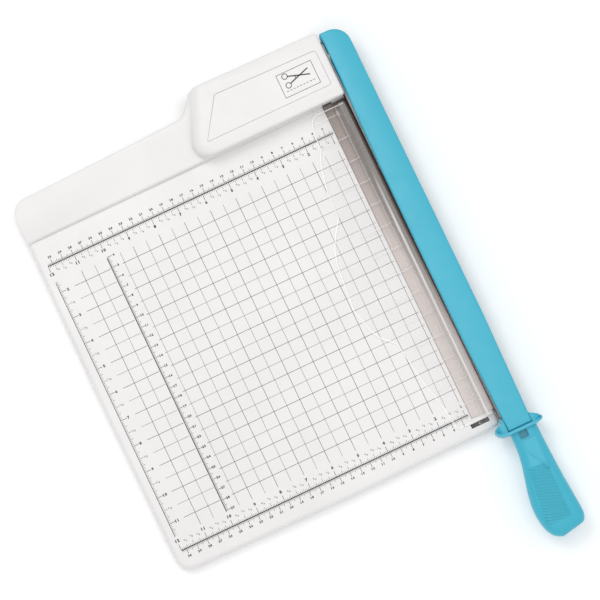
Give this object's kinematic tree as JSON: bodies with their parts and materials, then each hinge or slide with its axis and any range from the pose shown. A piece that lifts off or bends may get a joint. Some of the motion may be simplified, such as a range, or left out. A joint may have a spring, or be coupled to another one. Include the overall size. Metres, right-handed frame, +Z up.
{
  "type": "guillotine paper trimmer",
  "caption": "Desktop guillotine paper trimmer: white grid-printed base with raised fence, clear finger guard, and a hinged teal arm that carries the blade and a hilted handle.",
  "frame": {"origin": "centre of the whole footprint, handle included, on the table surface", "axes": "+X to the cutting side where the arm is, +Y away from the user towards the fence and pivot, +Z up"},
  "size_m": [0.3492, 0.5024, 0.045],
  "materials": {
    "white_plastic": "satin moulded white",
    "teal_plastic": "satin moulded teal",
    "clear_plastic": "clear, polished",
    "bed_steel": "brushed lengthwise",
    "blade_steel": "ground",
    "zinc_steel": "zinc plated",
    "spring_steel": "bright drawn wire",
    "bush_brass": "sintered",
    "rubber_black": "matt"
  },
  "bodies": {
    "base": {"base_deck": "white_plastic", "foot_1": "rubber_black", "foot_2": "rubber_black", "foot_3": "rubber_black", "foot_4": "rubber_black", "foot_5": "rubber_black", "arm_rest": "white_plastic", "bed_strip": "bed_steel", "bed_screw_1": "zinc_steel", "bed_screw_2": "zinc_steel", "bed_screw_3": "zinc_steel", "bed_screw_4": "zinc_steel", "fence_cover": "white_plastic", "housing_panel": "white_plastic", "cover_screw_1": "zinc_steel", "cover_screw_2": "zinc_steel", "cover_screw_3": "zinc_steel", "cover_screw_4": "zinc_steel", "cover_screw_5": "zinc_steel", "pivot_bracket": "zinc_steel", "bracket_screw_1": "zinc_steel", "bracket_screw_2": "zinc_steel", "pivot_bolt": "zinc_steel", "pivot_washer_inner": "zinc_steel", "pivot_spring": "spring_steel", "pivot_spacer": "zinc_steel", "pivot_washer_outer": "zinc_steel", "pivot_nut": "zinc_steel", "guard_spring_back": "spring_steel", "guard_spring_front": "spring_steel"},
    "arm": {"arm_beam": "teal_plastic", "pivot_bush": "bush_brass", "blade": "blade_steel", "blade_screw_1": "zinc_steel", "blade_screw_2": "zinc_steel", "blade_screw_3": "zinc_steel", "blade_screw_4": "zinc_steel", "blade_screw_5": "zinc_steel", "handle_upper": "teal_plastic", "handle_lower": "teal_plastic", "handle_screw_1": "zinc_steel", "handle_screw_2": "zinc_steel"},
    "guard": {"clear_guard": "clear_plastic"}
  },
  "joints": [
    {"name": "arm_hinge", "type": "hinge", "parent": "base", "child": "arm", "pos_m": [0.1464, 0.22562, 0.028], "axis": [-1, 0, 0], "range_deg": [0, 65]},
    {"name": "guard_press", "type": "slide", "parent": "base", "child": "guard", "axis": [0, 0, 1], "range_m": [-0.0014, 0], "stiffness_N_per_m": 1500, "springref_m": 0.002, "deforming": ["guard_spring_back", "guard_spring_front"]}
  ]
}
